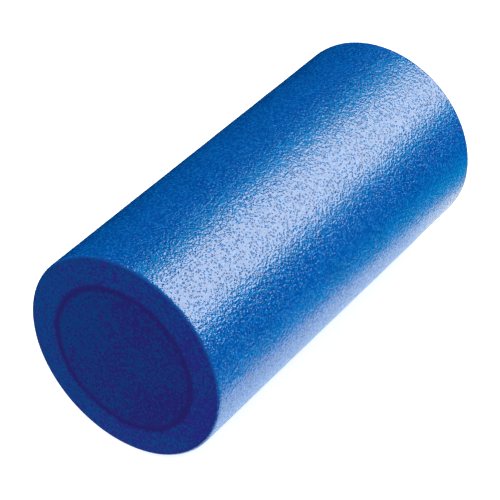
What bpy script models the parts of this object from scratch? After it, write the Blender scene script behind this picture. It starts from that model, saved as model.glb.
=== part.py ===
"""Short round foam roller, 12 inches long, lying on its side.

The roller is a log of closed-cell polyethylene foam, laminated by heat from four layers that lie
one round the other: a solid core log, a thin dense band where core and jacket are fused, a thick
foam jacket, and a dense grained skin on the outside. The core, the band and the jacket are cut
flush at both ends, where they show as a disc and two rings.

Frame: the roller's axis runs along X, +Z is up, and the origin is on the floor below the middle of
the roller. The roller lies on one flat facet of its skin, the strip that its weight presses flat.
"""

import math

import bpy

# Driving dimensions, in metres.
ROLLER_LENGTH = 0.305
ROLLER_DIAMETER = 0.145
SKIN_THICKNESS = 0.0015
FUSED_BAND_DIAMETER = 0.1024  # to the middle of the band
FUSED_BAND_WIDTH = 0.003
FUSED_BAND_DIP = 0.0004  # the dense band springs back less than foam after the cut
EDGE_RADIUS = 0.0025  # rounding between the round side and each end face
LAYER_GAP = 0.0003  # clearance between neighbouring layers

# Facets round the axis. Radii are measured to the middle of a facet.
FACETS = 96
EDGE_STEPS = 5

ROLLER_RADIUS = ROLLER_DIAMETER / 2
HALF_LENGTH = ROLLER_LENGTH / 2
EDGE_START_RADIUS = ROLLER_RADIUS - EDGE_RADIUS
SKIN_INNER_RADIUS = ROLLER_RADIUS - SKIN_THICKNESS
BAND_OUTER_RADIUS = (FUSED_BAND_DIAMETER + FUSED_BAND_WIDTH) / 2
BAND_INNER_RADIUS = (FUSED_BAND_DIAMETER - FUSED_BAND_WIDTH) / 2
JACKET_OUTER_RADIUS = SKIN_INNER_RADIUS - LAYER_GAP
JACKET_INNER_RADIUS = BAND_OUTER_RADIUS + LAYER_GAP
CORE_RADIUS = BAND_INNER_RADIUS - LAYER_GAP

# A polygon's corners stand this much further out than the middles of its sides.
CORNER_FACTOR = 1 / math.cos(math.pi / FACETS)
MERGE_DISTANCE = 0.00005

SKIN_COLOUR = (0.002, 0.094, 0.385, 1.0)
JACKET_COLOUR = (0.004, 0.045, 0.225, 1.0)
BAND_COLOUR = (0.006, 0.014, 0.120, 1.0)
CORE_COLOUR = (0.005, 0.030, 0.170, 1.0)


def clear_scene():
    for old in list(bpy.data.objects):
        bpy.data.objects.remove(old, do_unlink=True)


def foam_material(name, colour, roughness):
    material = bpy.data.materials.new(name)
    material.use_nodes = True
    shader = material.node_tree.nodes["Principled BSDF"]
    shader.inputs["Base Color"].default_value = colour
    shader.inputs["Roughness"].default_value = roughness
    shader.inputs["Metallic"].default_value = 0.0
    return material


def edge_angle(radius):
    """How far round the rounded edge this radius lies: 0 at the end face, 90 degrees at the side."""
    return math.asin(min(1.0, (radius - EDGE_START_RADIUS) / EDGE_RADIUS))


def upper_end(inner_radius, outer_radius):
    """The (radius, height) points of a layer's upper end, from its inner to its outer side."""
    if outer_radius <= EDGE_START_RADIUS:
        return [(inner_radius, HALF_LENGTH), (outer_radius, HALF_LENGTH)]
    points = []
    if inner_radius < EDGE_START_RADIUS:
        points.append((inner_radius, HALF_LENGTH))
    first = edge_angle(max(inner_radius, EDGE_START_RADIUS))
    last = edge_angle(outer_radius)
    for step in range(EDGE_STEPS + 1):
        angle = first + (last - first) * step / EDGE_STEPS
        points.append((
            EDGE_START_RADIUS + EDGE_RADIUS * math.sin(angle),
            HALF_LENGTH - EDGE_RADIUS + EDGE_RADIUS * math.cos(angle),
        ))
    return points


def turned(name, outline, closed, material, axis, collection):
    """A solid turned about the roller's axis from an outline that runs down its outer side."""
    points = [(radius * CORNER_FACTOR, 0.0, height) for radius, height in outline]
    edges = [(i, i + 1) for i in range(len(points) - 1)]
    if closed:
        edges.append((len(points) - 1, 0))
    mesh = bpy.data.meshes.new(name)
    mesh.from_pydata(points, edges, [])
    layer = bpy.data.objects.new(name, mesh)
    layer.data.materials.append(material)
    collection.objects.link(layer)
    layer.parent = axis
    layer.rotation_euler = (0.0, math.radians(90), 0.0)
    screw = layer.modifiers.new("turn", "SCREW")
    screw.axis = "Z"
    screw.steps = FACETS
    screw.render_steps = FACETS
    screw.use_smooth_shade = False
    screw.use_merge_vertices = True
    screw.merge_threshold = MERGE_DISTANCE
    return layer


def ring_layer(name, inner_radius, outer_radius, dip, material, axis, collection):
    """A tube-shaped layer. Its ends lie below the roller's end faces by the dip."""
    top = [(radius, height - dip) for radius, height in upper_end(inner_radius, outer_radius)]
    bottom = [(radius, -height) for radius, height in reversed(top)]
    return turned(name, top + bottom, True, material, axis, collection)


def core_log(material, axis, collection):
    outline = [
        (0.0, HALF_LENGTH),
        (CORE_RADIUS, HALF_LENGTH),
        (CORE_RADIUS, -HALF_LENGTH),
        (0.0, -HALF_LENGTH),
    ]
    return turned("core_log", outline, False, material, axis, collection)


def roller_axis(collection):
    """The empty that holds the layers. It turns them by half a facet, so a facet lies below."""
    axis = bpy.data.objects.new("roller_axis", None)
    collection.objects.link(axis)
    axis.location = (0.0, 0.0, ROLLER_RADIUS)
    axis.rotation_euler = (math.pi / FACETS, 0.0, 0.0)
    return axis


def build():
    clear_scene()
    collection = bpy.data.collections.new("foam_roller")
    bpy.context.scene.collection.children.link(collection)
    axis = roller_axis(collection)
    core_log(foam_material("core_foam", CORE_COLOUR, 0.90), axis, collection)
    ring_layer("fused_band", BAND_INNER_RADIUS, BAND_OUTER_RADIUS, FUSED_BAND_DIP,
               foam_material("band_foam", BAND_COLOUR, 0.85), axis, collection)
    ring_layer("foam_jacket", JACKET_INNER_RADIUS, JACKET_OUTER_RADIUS, 0.0,
               foam_material("jacket_foam", JACKET_COLOUR, 0.90), axis, collection)
    ring_layer("grained_skin", SKIN_INNER_RADIUS, ROLLER_RADIUS, 0.0,
               foam_material("skin_foam", SKIN_COLOUR, 0.38), axis, collection)


build()
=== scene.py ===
"""How the short round foam roller looks: grained skin, cut foam ends, floor, light and camera.

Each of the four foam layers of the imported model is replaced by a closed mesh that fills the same
space, with the relief that the real foam shows: rounded pebbles on the skin, and fine cut cells on
the two end faces. Lengths are in metres, in the row frame: the roller's axis runs along X, Z is up,
and the floor is at z = 0. Angles round the axis run from +Y towards +Z.
"""

import math

import bpy
import numpy as np
from mathutils import Matrix, Vector


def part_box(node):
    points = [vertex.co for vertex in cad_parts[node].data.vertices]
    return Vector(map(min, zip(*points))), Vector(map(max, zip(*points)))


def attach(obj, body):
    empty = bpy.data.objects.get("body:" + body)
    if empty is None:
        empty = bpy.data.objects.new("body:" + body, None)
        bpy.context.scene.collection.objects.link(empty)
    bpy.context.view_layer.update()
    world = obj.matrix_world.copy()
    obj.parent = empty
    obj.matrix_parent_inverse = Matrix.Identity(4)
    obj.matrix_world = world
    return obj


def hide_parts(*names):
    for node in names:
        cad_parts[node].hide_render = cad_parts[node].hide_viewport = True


MM = 0.001

# How finely the surfaces are divided.
SKIN_PITCH = 0.65 * MM
CUT_PITCH = 0.70 * MM
HIDDEN_PITCH = 12 * MM
SHOULDER_STEPS = 9  # lines of points along each rounded shoulder
FEWEST_RING_STEPS = 4  # across the cut end of a layer
CORE_CELLS = 132  # cells along each side of the square that is bent into the core's round end
SHARP_ANGLE = math.radians(60)  # where two faces meet more steeply, the shading shows an edge

# The rounded shoulder between the skin and each end face.
SHOULDER_RADIUS = 2.5 * MM
# The roller's weight presses its lowest strip flat: the skin would reach this far below the floor.
PRESSED_DEPTH = 0.04 * MM
# The gap between two layers is mostly filled, so that the end face looks whole.
SEAM = 0.04 * MM
WALL_REACH = 0.13 * MM
SHOULDER_GRAIN = 0.15  # strength of the skin's grain where it meets the cut

# The skin's grain.
PEBBLE_SIZE = 2.0 * MM
PEBBLE_HEIGHT = 0.27 * MM
FINE_PEBBLE_SIZE = 1.5 * MM
FINE_PEBBLE_HEIGHT = 0.06 * MM
SKIN_WAVE_SIZE = 14 * MM
SKIN_WAVE_HEIGHT = 0.16 * MM
CREASE_WIDTH = 0.35  # of a pebble's size
CREASE_DEPTH = 0.45  # of a pebble's height

# The cut foam of the end faces.
CELL_SIZE = 1.7 * MM
CELL_HEIGHT = 0.10 * MM
CUT_WAVE_SIZE = 26 * MM
CUT_WAVE_HEIGHT = 0.25 * MM

# The fused band lies a little off the roller's axis, and is wavy and uneven in width.
BAND_SHIFT_Y = 0.55 * MM
BAND_SHIFT_Z = -0.95 * MM
BAND_WOBBLE = 0.45 * MM
WOBBLE_WAVES = 3.5  # waves of the wobble in one radius of the band
BAND_WIDTH_CHANGE = 0.35 * MM
WIDTH_WAVES = 2.5
BAND_DIP = 0.40 * MM
BAND_DIP_REACH = 2.0 * MM

# Each kind of unevenness has its own random numbers. A pebble's three coordinates take three seeds.
PEBBLE_SEED = 1
FINE_PEBBLE_SEED = 5
SKIN_WAVE_SEED = 9
CELL_SEED = 21
CUT_WAVE_SEED = 24
WOBBLE_SEED = 61
WIDTH_SEED = 62
RING_WAVE_PLACE = 31.7  # where the band's waves are taken from, away from the noise's origin

# Colours, in linear light.
SKIN_DEEP = (0.0003, 0.064, 0.310, 1.0)
SKIN_BRIGHT = (0.0004, 0.076, 0.350, 1.0)
# Light specks on the skin: partly random tone, partly painted glints.
SKIN_SPECK_GLINT = (0.002, 0.165, 0.530, 1.0)
SKIN_AT_CUT = (0.002, 0.050, 0.24, 1.0)
JACKET_TEAL = (0.0003, 0.051, 0.205, 1.0)
JACKET_PURPLE = (0.016, 0.015, 0.180, 1.0)
CORE_TEAL = (0.0004, 0.040, 0.175, 1.0)
CORE_PURPLE = (0.016, 0.009, 0.132, 1.0)
BAND_COLOUR = (0.017, 0.008, 0.112, 1.0)
# Painted shade in the cut foam's open cells.
CELL_PAINTED_SHADE = (0.004, 0.012, 0.100, 1.0)
WHITE = (1.0, 1.0, 1.0, 1.0)
BLACK = (0.0, 0.0, 0.0, 1.0)

# The skin's material: clouds, light specks in its colour that are partly painted glints, and dents. A
# scale is in bumps per metre.
# A range is where in a pattern's own values it starts to show, and where it shows fully.
CLOUD_SCALE = 38.0
CLOUD_RANGE = (0.3, 0.7)
SPECK_SCALE = 600.0
SPECK_RANGE = (0.44, 0.70)
SPECK_STRENGTH = 0.85
SKIN_ROUGHNESS = 0.115
SPECK_ROUGHNESS = 0.05  # how much duller the specks are than the skin between them
WORN_ROUGHNESS = 0.05  # how much duller the shoulders are
WORN_REACH = (5.0 * MM, 1.0 * MM)  # the wear starts and is full at these distances from the end
CUT_COLOUR_REACH = (1.6 * MM, 0.4 * MM)  # the same for the darker colour at the cut
SKIN_SPECULAR = 1.0
SKIN_IOR = 1.5
DENT_SCALE = 620.0
DENT_RANGE = (0.10, 0.45)
DENT_DEPTH = 0.19 * MM
RIPPLE_SCALE = 800.0
RIPPLE_DEPTH = 0.20 * MM

# The cut foam's material: teal and purple mottles, more teal towards +Y, and painted shade in its open
# cells.
MOTTLE_SCALE = 620.0
MOTTLE_RANGE = (0.3, 0.7)
MOTTLE_STRENGTH = 4.2
NOISE_MIDDLE = 0.5  # the value that noise has on average
MOTTLE_DEPTH = 0.12 * MM
DRIFT_SCALE = 28.0
TEAL_PER_METRE = 5.0
TEAL_RANGE = (0.1, 0.9)
PORE_SCALE = 650.0
PORE_RANGE = (0.1, 0.7)
PORE_PAINTED_SHADE = 0.45
PORE_DEPTH = 0.10 * MM
CUT_ROUGHNESS = (0.72, 0.88)  # least and most
CUT_SPECULAR = 0.5
CUT_IOR = 1.1

# The dark colour of the fused band, which fades into the foam on both sides with a ragged edge.
BAND_WANDER_SCALE = 60.0
BAND_WANDER = 3.0 * MM
BAND_RAGGEDNESS = 3.0 * MM
BAND_FADE = (1.5 * MM, 6.0 * MM)  # full up to the first distance from its middle, gone at the second
BAND_STRENGTH = 0.95

# The floor. It glows a little, with one strength for the camera and one for what falls on the roller.
FLOOR_COLOUR = (0.92, 0.92, 0.92, 1.0)
FLOOR_ROUGHNESS = 0.9
FLOOR_GLOW = (0.61, 0.56, 0.55, 1.0)
FLOOR_GLOW_ON_ROLLER = (0.47, 0.58, 0.38, 1.0)
# Corners (x, y) of the part that the skin reflects: near left, near right, far right, far left. It
# stops just past the roller's front end, so that it isn't mirrored in the rim of the end face.
NEAR_FLOOR = ((-0.16, -0.147), (0.7, -0.007), (0.7, 0.11), (-0.16, 0.11))
MARGIN_WIDTH = 0.09
MARGIN_GLOW = (0.0, 0.55, 0.66, 1.0)
FAR_FLOOR_REACH = 6.0
FLOOR_STEP = 0.3 * MM

# The light. Directions point from the roller to the light. A radiance is a light's own brightness.
KEY_DIRECTION = (0.543, -0.460, 0.703)
KEY_DISTANCE = 3.0
KEY_SIZE = (2.7, 2.6)
KEY_ROLL = math.radians(26)  # about the line from the roller to the light
KEY_RADIANCE = 5.05
KEY_COLOUR = (1.0, 0.82, 0.66)
# A larger blue-green light just behind the key, for the rich blue on both sides of the highlight.
SPILL_DISTANCE = 3.1
SPILL_SIZE = (5.2, 4.2)
SPILL_RADIANCE = 1.4
SPILL_COLOUR = (0.06, 0.90, 1.0)
# Six large panels all round, each with its direction and radiance. They don't show in the gloss.
AMBIENT_DISTANCE = 6.0
AMBIENT_PANELS = {
    "above": ((0, 0, 1), 1.25),
    "below": ((0, 0, -1), 1.6),
    "near_side": ((0, -1, 0), 1.35),
    "far_side": ((0, 1, 0), 1.05),
    "near_end": ((-1, 0, 0), 1.1),
    "far_end": ((1, 0, 0), 1.05),
}
WORLD_LEVEL = 0.02
END_ON = 0.9  # a light whose direction has more than this along X stands at an end of the roller

# The camera, in degrees, metres and, for the lens, millimetres. Azimuth 0 looks along +Y.
CAMERA_AZIMUTH = -55.73
CAMERA_ELEVATION = 36.65
CAMERA_DISTANCE = 1.3464
CAMERA_AIM = (-0.0084, 0.0034, 0.0658)
CAMERA_LENS = 145.6
CAMERA_SENSOR = 36.0


# ---------------------------------------------------------------- noise on points

def cell_random(cells, seed):
    """A fixed number from 0 to 1 for each whole-numbered cell (x, y, z).

    The large numbers are the usual ones of integer hashes. They only scramble the bits.
    """
    x, y, z = (cells[..., axis].astype(np.uint32) for axis in range(3))
    mixed = x * np.uint32(374761393) + y * np.uint32(668265263)
    mixed += z * np.uint32(2246822519) + np.uint32(seed * 40503 + 7)
    mixed ^= mixed >> np.uint32(15)
    mixed *= np.uint32(2246822519)
    mixed ^= mixed >> np.uint32(13)
    mixed *= np.uint32(3266489917)
    mixed ^= mixed >> np.uint32(16)
    return mixed / 2.0 ** 32


def neighbours(first, last):
    """Whole-number steps (x, y, z), each number from first to last."""
    steps = range(first, last + 1)
    return [np.array((x, y, z)) for x in steps for y in steps for z in steps]


def pebbles(points, size, seed):
    """Rounded bumps of about that size packed side by side: 1 on top, and down to 0 between them."""
    scaled = points / size
    home = np.floor(scaled).astype(np.int64)
    nearest = np.full(len(points), np.inf)
    second = np.full(len(points), np.inf)
    for step in neighbours(-1, 1):
        cell = home + step
        centre = np.stack([cell_random(cell, seed + axis) for axis in range(3)], axis=-1) + cell
        distance = np.linalg.norm(scaled - centre, axis=-1)
        second = np.minimum(second, np.maximum(nearest, distance))
        nearest = np.minimum(nearest, distance)
    crease = np.clip((second - nearest) / CREASE_WIDTH, 0.0, 1.0)
    dome = 1.0 - np.clip(nearest, 0.0, 1.0) ** 2
    return dome * (1.0 - CREASE_DEPTH + CREASE_DEPTH * crease * (2.0 - crease))


def waves(points, size, seed):
    """Smooth unevenness of about that size, from 0 to 1."""
    scaled = points / size
    home = np.floor(scaled).astype(np.int64)
    part = scaled - home
    smooth = part * part * (3.0 - 2.0 * part)
    total = np.zeros(len(points))
    for step in neighbours(0, 1):
        weight = np.prod(np.where(step == 1, smooth, 1.0 - smooth), axis=-1)
        total += weight * cell_random(home + step, seed)
    return total


def ring_waves(angle, count, seed):
    """Smooth unevenness round the axis, from -1 to 1, with that many waves in one radius."""
    circle = np.stack([np.cos(angle) * count, np.sin(angle) * count, np.zeros_like(angle)], axis=-1)
    level = waves(circle.reshape(-1, 3) + RING_WAVE_PLACE, 1.0, seed)
    return (level * 2.0 - 1.0).reshape(np.shape(angle))


# ---------------------------------------------------------------- meshes

def closed_grid(rings, around):
    """Quads that join rings of points into a closed tube with a hollow middle, last to first."""
    ring = np.arange(rings)[:, None]
    place = np.arange(around)[None, :]
    next_ring = (ring + 1) % rings
    next_place = (place + 1) % around
    corners = (
        ring * around + place,
        next_ring * around + place,
        next_ring * around + next_place,
        ring * around + next_place,
    )
    return np.stack([np.broadcast_to(c, (rings, around)) for c in corners], axis=-1).reshape(-1, 4)


def mesh_piece(name, points, quads, material):
    """An object of these quads with smooth shading, but for sharp corners."""
    mesh = bpy.data.meshes.new(name)
    mesh.vertices.add(len(points))
    mesh.vertices.foreach_set("co", points.astype(np.float32).ravel())
    mesh.loops.add(quads.size)
    mesh.loops.foreach_set("vertex_index", quads.astype(np.int32).ravel())
    mesh.polygons.add(len(quads))
    mesh.polygons.foreach_set("loop_start", np.arange(0, quads.size, 4, dtype=np.int32))
    mesh.update(calc_edges=True)
    mesh.shade_smooth()
    mesh.set_sharp_from_angle(angle=SHARP_ANGLE)
    mesh.materials.append(material)
    piece = bpy.data.objects.new(name, mesh)
    bpy.context.scene.collection.objects.link(piece)
    return piece


def stand_for(piece, node):
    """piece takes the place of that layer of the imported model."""
    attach(piece, "root")
    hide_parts(node)


class Roller:
    """The roller's sizes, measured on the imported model."""

    def __init__(self):
        skin_low, skin_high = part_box("grained_skin")
        jacket_low, jacket_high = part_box("foam_jacket")
        band_low, band_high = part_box("fused_band")
        core_low, core_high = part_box("core_log")
        self.axis_height = (skin_low[2] + skin_high[2]) / 2
        self.half_length = (core_high[0] - core_low[0]) / 2
        self.skin_radius = (skin_high[2] - skin_low[2]) / 2 + PRESSED_DEPTH
        self.jacket_radius = (jacket_high[2] - jacket_low[2]) / 2 + WALL_REACH
        self.band_radius = ((band_high[2] - band_low[2]) + (core_high[2] - core_low[2])) / 4
        self.band_half_width = ((band_high[2] - band_low[2]) - (core_high[2] - core_low[2])) / 4

    def band_middle(self, angle):
        """Distance from the axis to the middle of the fused band, at these angles."""
        shift = BAND_SHIFT_Y * np.cos(angle) + BAND_SHIFT_Z * np.sin(angle)
        return self.band_radius + shift + BAND_WOBBLE * ring_waves(angle, WOBBLE_WAVES, WOBBLE_SEED)

    def band_edge(self, angle, side):
        """Distance from the axis to the band's inner (side -1) or outer (side 1) edge."""
        change = BAND_WIDTH_CHANGE * ring_waves(angle, WIDTH_WAVES, WIDTH_SEED)
        return self.band_middle(angle) + side * (self.band_half_width + change)

    def end_height(self, radius, angle):
        """How far from the middle the end face lies: rounded at the shoulder, dipped at the band."""
        past = np.clip(radius - (self.skin_radius - SHOULDER_RADIUS), 0.0, SHOULDER_RADIUS)
        rounding = SHOULDER_RADIUS - np.sqrt(SHOULDER_RADIUS ** 2 - past ** 2)
        off_band = (radius - self.band_middle(angle)) / BAND_DIP_REACH
        return self.half_length - rounding - BAND_DIP * np.exp(-off_band ** 2)


def skin_relief(points):
    """Depth of the skin's grain at these points: 0 on the highest pebbles, negative elsewhere."""
    coarse = (pebbles(points, PEBBLE_SIZE, PEBBLE_SEED) - 1.0) * PEBBLE_HEIGHT
    fine = (pebbles(points, FINE_PEBBLE_SIZE, FINE_PEBBLE_SEED) - 1.0) * FINE_PEBBLE_HEIGHT
    wave = (waves(points, SKIN_WAVE_SIZE, SKIN_WAVE_SEED) - 1.0) * SKIN_WAVE_HEIGHT
    return coarse + fine + wave


def cut_relief(points):
    """Depth of the torn cells and the saw's unevenness on a cut end face, 0 or negative."""
    cell = (pebbles(points, CELL_SIZE, CELL_SEED) - 1.0) * CELL_HEIGHT
    wave = (waves(points, CUT_WAVE_SIZE, CUT_WAVE_SEED) - 1.0) * CUT_WAVE_HEIGHT
    return cell + wave


def round_axis(x, radius, angle, axis_height):
    """Points at those distances from the axis and angles round it."""
    x, radius, angle = np.broadcast_arrays(x, radius, angle)
    return np.stack([x, radius * np.cos(angle), axis_height + radius * np.sin(angle)], axis=-1)


def end_face(roller, radius, angle, side):
    """Points on the cut end face at +X (side 1) or -X (side -1), with its relief."""
    radius, angle = np.broadcast_arrays(radius, angle)
    points = round_axis(side * roller.end_height(radius, angle), radius, angle, roller.axis_height)
    points[..., 0] += side * cut_relief(points.reshape(-1, 3)).reshape(radius.shape)
    return points


def hidden_rows(start, stop):
    """Rows of points between two rows, the plain wall inside the roller."""
    count = math.ceil(abs(stop[0, 0] - start[0, 0]) / HIDDEN_PITCH)
    part = (np.arange(1, count) / count)[:, None, None]
    return start * (1 - part) + stop * part


def angles_round(radius, pitch):
    """Even angles round the axis, at most that pitch apart on that radius."""
    count = math.ceil(2 * math.pi * radius / pitch)
    return np.arange(count) * 2 * math.pi / count


def skin_line(roller):
    """One lengthwise line over the skin, from +X to -X: shoulder, side, shoulder.

    Gives the x of the middle of its bend, the way out (along X and from the axis), and the strength
    of the grain, which fades over the shoulders.
    """
    bend_radius = roller.skin_radius - SHOULDER_RADIUS
    inner_radius = roller.jacket_radius + SEAM
    first_angle = math.asin((inner_radius - bend_radius) / SHOULDER_RADIUS)
    bend = np.linspace(first_angle, math.pi / 2, SHOULDER_STEPS)
    fade = np.linspace(SHOULDER_GRAIN, 1.0, SHOULDER_STEPS)

    side_end = roller.half_length - SHOULDER_RADIUS
    count = math.ceil(2 * side_end / SKIN_PITCH)
    side_x = np.linspace(side_end, -side_end, count + 1)[1:-1]
    straight = np.ones(len(side_x))
    shoulder_x = np.full(SHOULDER_STEPS, side_end)

    middle_x = np.concatenate([shoulder_x, side_x, -shoulder_x])
    out_x = np.concatenate([np.cos(bend), 0 * straight, -np.cos(bend[::-1])])
    out_radius = np.concatenate([np.sin(bend), straight, np.sin(bend[::-1])])
    grain = np.concatenate([fade, straight, fade[::-1]])
    return middle_x[:, None], out_x[:, None], out_radius[:, None], grain[:, None]


def grained_skin(roller, material):
    """The outside layer: pebbled side, rounded shoulders and a plain inner wall."""
    middle_x, out_x, out_radius, grain = skin_line(roller)
    angle = angles_round(roller.skin_radius, SKIN_PITCH)
    line_x = middle_x + SHOULDER_RADIUS * out_x
    line_radius = roller.skin_radius - SHOULDER_RADIUS + SHOULDER_RADIUS * out_radius
    outside = round_axis(line_x, line_radius, angle, roller.axis_height)
    outward = round_axis(out_x, out_radius, angle, 0.0)
    depth = skin_relief(outside.reshape(-1, 3)).reshape(outside.shape[:2]) * grain
    outside += outward * depth[..., None]
    outside[..., 2] = np.maximum(outside[..., 2], 0.0)

    points = np.concatenate([outside, hidden_rows(outside[-1], outside[0])])
    quads = closed_grid(len(points), len(angle))
    piece = mesh_piece("skin_grained", points.reshape(-1, 3), quads, material)
    stand_for(piece, "grained_skin")


def foam_ring(name, roller, inner_edge, outer_edge, material):
    """A tube of foam with cut ends. The two edges are functions from angles to radii."""
    angle = angles_round(roller.jacket_radius, CUT_PITCH)
    inner = inner_edge(angle)
    width = outer_edge(angle) - inner
    count = max(FEWEST_RING_STEPS, math.ceil(np.max(width) / CUT_PITCH))
    radius = inner + width * np.linspace(0.0, 1.0, count + 1)[:, None]
    right = end_face(roller, radius, angle, 1)
    left = end_face(roller, radius[::-1], angle, -1)
    outer_wall = hidden_rows(right[-1], left[0])
    inner_wall = hidden_rows(left[-1], right[0])
    points = np.concatenate([right, outer_wall, left, inner_wall])
    quads = closed_grid(len(points), len(angle))
    return mesh_piece(name, points.reshape(-1, 3), quads, material)


def foam_jacket(roller, material):
    """The thick layer between the fused band and the skin."""
    piece = foam_ring(
        "jacket_cut", roller,
        lambda angle: roller.band_edge(angle, 1) + SEAM / 2,
        lambda angle: np.full_like(angle, roller.jacket_radius),
        material,
    )
    stand_for(piece, "foam_jacket")


def fused_band(roller, material):
    """The thin dense layer between core and jacket."""
    piece = foam_ring(
        "band_cut", roller,
        lambda angle: roller.band_edge(angle, -1) + SEAM / 2,
        lambda angle: roller.band_edge(angle, 1) - SEAM / 2,
        material,
    )
    stand_for(piece, "fused_band")


def disc_grid(cells):
    """(distance from the centre, from 0 to 1, and angle) of a square grid bent into a disc."""
    line = np.linspace(-1.0, 1.0, cells + 1)
    across, up = np.meshgrid(line, line, indexing="ij")
    wide = abs(across) >= abs(up)
    longer = np.where(wide, across, up)
    shorter = np.where(wide, up, across)
    lean = math.pi / 4 * shorter / np.where(longer == 0, 1.0, longer)
    turn = np.where(wide, lean, math.pi / 2 - lean)
    y = longer * np.cos(turn)
    z = longer * np.sin(turn)
    return np.hypot(y, z), np.arctan2(z, y)


def core_log(roller, material):
    """The solid core. Each end is a square grid bent into a disc."""
    size = CORE_CELLS + 1
    reach, angle = disc_grid(CORE_CELLS)
    radius = reach * (roller.band_edge(angle, -1) - SEAM / 2)
    right = end_face(roller, radius, angle, 1).reshape(-1, 3)
    left = end_face(roller, radius, angle, -1).reshape(-1, 3)

    index = np.arange(size * size).reshape(size, size)
    disc = np.stack([index[:-1, :-1], index[1:, :-1], index[1:, 1:], index[:-1, 1:]], axis=-1)
    disc = disc.reshape(-1, 4)

    rim = np.concatenate([index[:-1, 0], index[-1, :-1], index[:0:-1, -1], index[0, :0:-1]])
    wall = hidden_rows(right[rim], left[rim])
    wall_index = 2 * size * size + np.arange(wall.shape[0] * len(rim)).reshape(-1, len(rim))
    rows = np.concatenate([rim[None], wall_index, rim[None] + size * size])
    after = np.roll(rows, -1, axis=1)
    side = np.stack([rows[:-1], rows[1:], after[1:], after[:-1]], axis=-1).reshape(-1, 4)

    quads = np.concatenate([disc, disc[:, ::-1] + size * size, side])
    points = np.concatenate([right, left, wall.reshape(-1, 3)])
    piece = mesh_piece("core_cut", points, quads, material)
    stand_for(piece, "core_log")


# ---------------------------------------------------------------- materials

def new_material(name):
    """A material, its node tree and its shader."""
    material = bpy.data.materials.new(name)
    material.use_nodes = True
    tree = material.node_tree
    return material, tree, tree.nodes["Principled BSDF"]


def connect(tree, value, socket):
    """Links an output to the socket, or sets the socket to a plain value."""
    if isinstance(value, bpy.types.NodeSocket):
        tree.links.new(value, socket)
    else:
        socket.default_value = value


def math_node(tree, operation, *values):
    """The outcome of that operation on one, two or three outputs or plain numbers."""
    made = tree.nodes.new("ShaderNodeMath")
    made.operation = operation
    for value, socket in zip(values, made.inputs):
        connect(tree, value, socket)
    return made.outputs[0]


def noise(tree, where, scale, detail=2.0, roughness=0.5):
    """Noise from about 0.25 to 0.75 in the row frame. scale is in bumps per metre."""
    made = tree.nodes.new("ShaderNodeTexNoise")
    made.inputs["Scale"].default_value = scale
    made.inputs["Detail"].default_value = detail
    made.inputs["Roughness"].default_value = roughness
    tree.links.new(where, made.inputs["Vector"])
    return made.outputs["Fac"]


def cells(tree, where, scale):
    """Distance to the nearest cell middle of a random foam, in cells. scale is in cells per metre."""
    made = tree.nodes.new("ShaderNodeTexVoronoi")
    made.inputs["Scale"].default_value = scale
    tree.links.new(where, made.inputs["Vector"])
    return made.outputs["Distance"]


def span(tree, value, low, high, out_low=0.0, out_high=1.0):
    """value taken smoothly from low..high to out_low..out_high, and held beyond."""
    made = tree.nodes.new("ShaderNodeMapRange")
    made.interpolation_type = "SMOOTHSTEP"
    made.inputs["From Min"].default_value = low
    made.inputs["From Max"].default_value = high
    made.inputs["To Min"].default_value = out_low
    made.inputs["To Max"].default_value = out_high
    tree.links.new(value, made.inputs["Value"])
    return made.outputs["Result"]


def blend(tree, amount, first, second):
    """The colour first where amount is 0, and second where it is 1."""
    made = tree.nodes.new("ShaderNodeMix")
    made.data_type = "RGBA"
    connect(tree, amount, made.inputs["Factor"])
    connect(tree, first, made.inputs["A"])
    connect(tree, second, made.inputs["B"])
    return made.outputs["Result"]


def bump(tree, height, depth, below=None):
    """A bump of that depth in metres, on top of another if below is given."""
    made = tree.nodes.new("ShaderNodeBump")
    made.inputs["Strength"].default_value = 1.0
    made.inputs["Distance"].default_value = depth
    tree.links.new(height, made.inputs["Height"])
    if below is not None:
        tree.links.new(below, made.inputs["Normal"])
    return made.outputs["Normal"]


def row_place(tree):
    """The position in the row frame, and its x, y and z."""
    where = tree.nodes.new("ShaderNodeTexCoord").outputs["Object"]
    parts = tree.nodes.new("ShaderNodeSeparateXYZ")
    tree.links.new(where, parts.inputs[0])
    return where, parts.outputs


def near_end(tree, along, half_length, reach, strength=1.0):
    """0 along the roller, rising to strength between those two distances from its nearer end."""
    start, full = reach
    return span(tree, along, half_length - start, half_length - full, 0.0, strength)


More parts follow.
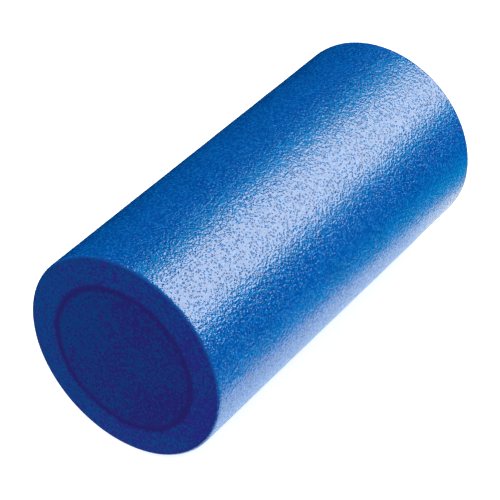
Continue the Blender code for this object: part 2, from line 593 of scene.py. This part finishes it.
def skin_material(roller):
    """Smooth, dense polyethylene skin: glossy dented pebbles, light specks that are partly painted
    glints, and dull shoulders.
    """
    material, tree, shader = new_material("skin_foam")
    where, (x, _, _) = row_place(tree)
    along = math_node(tree, "ABSOLUTE", x)

    cloud = span(tree, noise(tree, where, CLOUD_SCALE, detail=3.0), *CLOUD_RANGE)
    # Light specks in the colour: partly random tone, partly painted glints beside the highlight.
    speck_glint = noise(tree, where, SPECK_SCALE, detail=1.0, roughness=0.6)
    speck_glint = span(tree, speck_glint, *SPECK_RANGE)
    colour = blend(tree, cloud, SKIN_DEEP, SKIN_BRIGHT)
    colour = blend(tree, math_node(tree, "MULTIPLY", speck_glint, SPECK_STRENGTH), colour, SKIN_SPECK_GLINT)
    to_cut = near_end(tree, along, roller.half_length, CUT_COLOUR_REACH)
    colour = blend(tree, to_cut, colour, SKIN_AT_CUT)
    tree.links.new(colour, shader.inputs["Base Color"])

    worn = near_end(tree, along, roller.half_length, WORN_REACH, WORN_ROUGHNESS)
    smoothest = SKIN_ROUGHNESS - SPECK_ROUGHNESS / 2
    dull = math_node(tree, "MULTIPLY_ADD", speck_glint, SPECK_ROUGHNESS, smoothest)
    tree.links.new(math_node(tree, "ADD", dull, worn), shader.inputs["Roughness"])
    shader.inputs["Specular IOR Level"].default_value = SKIN_SPECULAR
    shader.inputs["IOR"].default_value = SKIN_IOR

    dents = span(tree, cells(tree, where, DENT_SCALE), *DENT_RANGE)
    dented = bump(tree, dents, DENT_DEPTH)
    ripples = noise(tree, where, RIPPLE_SCALE, detail=0.0)
    rippled = bump(tree, ripples, RIPPLE_DEPTH, dented)
    tree.links.new(rippled, shader.inputs["Normal"])
    return material


def off_axis(tree, y, z, axis_y, axis_z):
    """Distance from the line along X through (axis_y, axis_z)."""
    across = math_node(tree, "SUBTRACT", y, axis_y)
    up = math_node(tree, "SUBTRACT", z, axis_z)
    squares = math_node(
        tree, "ADD", math_node(tree, "MULTIPLY", across, across), math_node(tree, "MULTIPLY", up, up),
    )
    return math_node(tree, "SQRT", squares)


def band_amount(tree, where, y, z, mottle, roller):
    """How much of the fused band's dark colour shows: most in its middle, with a ragged edge."""
    radius = off_axis(tree, y, z, BAND_SHIFT_Y, roller.axis_height + BAND_SHIFT_Z)
    middle = -roller.band_radius - BAND_WANDER / 2
    wander = math_node(
        tree, "MULTIPLY_ADD", noise(tree, where, BAND_WANDER_SCALE), BAND_WANDER, middle,
    )
    off_band = math_node(tree, "ABSOLUTE", math_node(tree, "ADD", radius, wander))
    ragged = math_node(tree, "MULTIPLY_ADD", mottle, BAND_RAGGEDNESS, off_band)
    return span(tree, ragged, *BAND_FADE, BAND_STRENGTH, 0.0)


def cut_material(name, roller, teal, purple):
    """Sawn closed-cell foam: matt, mottled, and darker where the heat fused it in the band."""
    material, tree, shader = new_material(name)
    where, (_, y, z) = row_place(tree)

    mottle = noise(tree, where, MOTTLE_SCALE, roughness=0.6)
    drift = noise(tree, where, DRIFT_SCALE)
    lean = math_node(tree, "MULTIPLY_ADD", y, TEAL_PER_METRE, drift)
    off_middle = math_node(tree, "SUBTRACT", mottle, NOISE_MIDDLE)
    spots = math_node(tree, "MULTIPLY", off_middle, MOTTLE_STRENGTH)
    teal_share = span(tree, math_node(tree, "ADD", lean, spots), *TEAL_RANGE)
    colour = blend(tree, teal_share, purple, teal)
    colour = blend(tree, band_amount(tree, where, y, z, mottle, roller), colour, BAND_COLOUR)
    # Painted shade: the open cells darken away from each cell's middle.
    pores = cells(tree, where, PORE_SCALE)
    colour = blend(tree, span(tree, pores, *PORE_RANGE, 0.0, PORE_PAINTED_SHADE), colour, CELL_PAINTED_SHADE)
    tree.links.new(colour, shader.inputs["Base Color"])

    dull = span(tree, mottle, *MOTTLE_RANGE, *CUT_ROUGHNESS)
    tree.links.new(dull, shader.inputs["Roughness"])
    shader.inputs["Specular IOR Level"].default_value = CUT_SPECULAR
    shader.inputs["IOR"].default_value = CUT_IOR
    pitted = bump(tree, pores, PORE_DEPTH)
    tree.links.new(bump(tree, mottle, MOTTLE_DEPTH, pitted), shader.inputs["Normal"])
    return material


# ---------------------------------------------------------------- stage

def floor_material(name, colour):
    """A matt material that glows, with its node tree and its shader. Its glow is set by the caller."""
    material, tree, shader = new_material(name)
    shader.inputs["Base Color"].default_value = colour
    shader.inputs["Roughness"].default_value = FLOOR_ROUGHNESS
    shader.inputs["Specular IOR Level"].default_value = 0.0
    shader.inputs["Emission Strength"].default_value = 1.0
    return material, tree, shader


def floor_sheet(name, corners, height, material):
    """A level sheet with those corners (x, y)."""
    mesh = bpy.data.meshes.new(name)
    mesh.from_pydata([(x, y, height) for x, y in corners], [], [tuple(range(len(corners)))])
    mesh.materials.append(material)
    sheet = bpy.data.objects.new(name, mesh)
    bpy.context.scene.collection.objects.link(sheet)
    sheet.visible_shadow = False
    return sheet


def floor():
    """A white floor that glows a little and lets light through, as a light table does.

    The skin is so glossy that it reflects the floor. The photograph's reflection is narrow, so only
    the near part is met by rays other than the camera's. The far part lies a hair below it.
    """
    white, tree, shader = floor_material("floor_white", FLOOR_COLOUR)
    seen = tree.nodes.new("ShaderNodeLightPath").outputs["Is Camera Ray"]
    glow = blend(tree, seen, FLOOR_GLOW_ON_ROLLER, FLOOR_GLOW)
    tree.links.new(glow, shader.inputs["Emission Color"])
    floor_sheet("floor_near", NEAR_FLOOR, 0.0, white)
    floor_margin()

    reach = FAR_FLOOR_REACH
    far_corners = ((-reach, -reach), (reach, -reach), (reach, reach), (-reach, reach))
    far = floor_sheet("floor_far", far_corners, -FLOOR_STEP, white)
    far.visible_diffuse = False
    far.visible_glossy = False


def floor_margin():
    """A strip along the near floor, only for reflections, that tints their upper edge blue-green."""
    tinted, _, shader = floor_material("floor_margin", BLACK)
    shader.inputs["Emission Color"].default_value = MARGIN_GLOW
    (left_x, left_y), (right_x, right_y) = NEAR_FLOOR[:2]
    corners = (
        (left_x, left_y - MARGIN_WIDTH),
        (right_x, right_y - MARGIN_WIDTH),
        (right_x, right_y),
        (left_x, left_y),
    )
    margin = floor_sheet("floor_margin", corners, 0.0, tinted)
    margin.visible_camera = False
    margin.visible_diffuse = False


def soft_light(name, direction, distance, size, radiance, target, roll=0.0):
    """A rectangular soft light of that size (width, height), which looks at target from a direction.

    Its width lies along X unless it is rolled. A light at an end of the roller has it along Y.
    """
    width, height = size
    data = bpy.data.lights.new(name, "AREA")
    data.shape = "RECTANGLE"
    data.size = width
    data.size_y = height
    data.energy = radiance * math.pi * width * height
    light = bpy.data.objects.new(name, data)
    back = Vector(direction).normalized()
    level = Vector((0.0, 1.0, 0.0)) if abs(back.x) > END_ON else Vector((1.0, 0.0, 0.0))
    across = (level - back * back.dot(level)).normalized()
    upright = Matrix((across, back.cross(across), back)).transposed()
    turn = upright @ Matrix.Rotation(roll, 3, "Z")
    light.matrix_world = Matrix.Translation(target + back * distance) @ turn.to_4x4()
    light.visible_camera = False
    bpy.context.scene.collection.objects.link(light)
    return light


def reflected_light(name, distance, size, radiance, colour, target):
    """A soft light in the key light's direction that shows only in the gloss."""
    light = soft_light(name, KEY_DIRECTION, distance, size, radiance, target, KEY_ROLL)
    light.data.color = colour
    light.visible_diffuse = False


def lights(roller):
    """A rolled softbox and its blue-green spill for the gloss, and even light from all six sides."""
    middle = Vector((0.0, 0.0, roller.axis_height))
    reflected_light("key_softbox", KEY_DISTANCE, KEY_SIZE, KEY_RADIANCE, KEY_COLOUR, middle)
    reflected_light("key_spill", SPILL_DISTANCE, SPILL_SIZE, SPILL_RADIANCE, SPILL_COLOUR, middle)
    side = 2 * AMBIENT_DISTANCE
    for name, (direction, radiance) in AMBIENT_PANELS.items():
        panel = soft_light(name, direction, AMBIENT_DISTANCE, (side, side), radiance, middle)
        panel.visible_glossy = False


def surroundings():
    """A background that is white for the camera, and lights the roller only faintly."""
    world = bpy.data.worlds.new("surroundings")
    world.use_nodes = True
    tree = world.node_tree
    background = tree.nodes["Background"]
    background.inputs["Color"].default_value = WHITE
    seen = tree.nodes.new("ShaderNodeLightPath").outputs["Is Camera Ray"]
    level = math_node(tree, "MULTIPLY_ADD", seen, 1.0 - WORLD_LEVEL, WORLD_LEVEL)
    tree.links.new(level, background.inputs["Strength"])
    bpy.context.scene.world = world
    world.cycles_visibility.glossy = False


def camera():
    """Looks down on the roller's front end, at -X, from its -Y side."""
    azimuth = math.radians(CAMERA_AZIMUTH)
    elevation = math.radians(CAMERA_ELEVATION)
    back = Vector((
        math.sin(azimuth) * math.cos(elevation),
        -math.cos(azimuth) * math.cos(elevation),
        math.sin(elevation),
    ))
    data = bpy.data.cameras.new("camera")
    data.lens = CAMERA_LENS
    data.sensor_width = CAMERA_SENSOR
    made = bpy.data.objects.new("camera", data)
    made.location = Vector(CAMERA_AIM) + back * CAMERA_DISTANCE
    made.rotation_mode = "QUATERNION"
    made.rotation_quaternion = (-back).to_track_quat("-Z", "Y")
    bpy.context.scene.collection.objects.link(made)
    bpy.context.scene.camera = made


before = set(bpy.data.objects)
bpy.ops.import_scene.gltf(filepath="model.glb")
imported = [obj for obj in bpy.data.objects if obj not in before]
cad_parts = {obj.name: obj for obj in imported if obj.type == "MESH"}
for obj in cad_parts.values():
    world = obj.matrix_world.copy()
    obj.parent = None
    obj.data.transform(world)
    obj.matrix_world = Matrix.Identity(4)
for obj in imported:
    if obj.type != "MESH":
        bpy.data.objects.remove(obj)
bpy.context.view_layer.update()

roller = Roller()
grained_skin(roller, skin_material(roller))
foam_jacket(roller, cut_material("jacket_foam", roller, JACKET_TEAL, JACKET_PURPLE))
fused_band(roller, cut_material("band_foam", roller, CORE_TEAL, CORE_PURPLE))
core_log(roller, cut_material("core_foam", roller, CORE_TEAL, CORE_PURPLE))
floor()
lights(roller)
surroundings()
camera()
bpy.context.scene.view_settings.view_transform = "Standard"
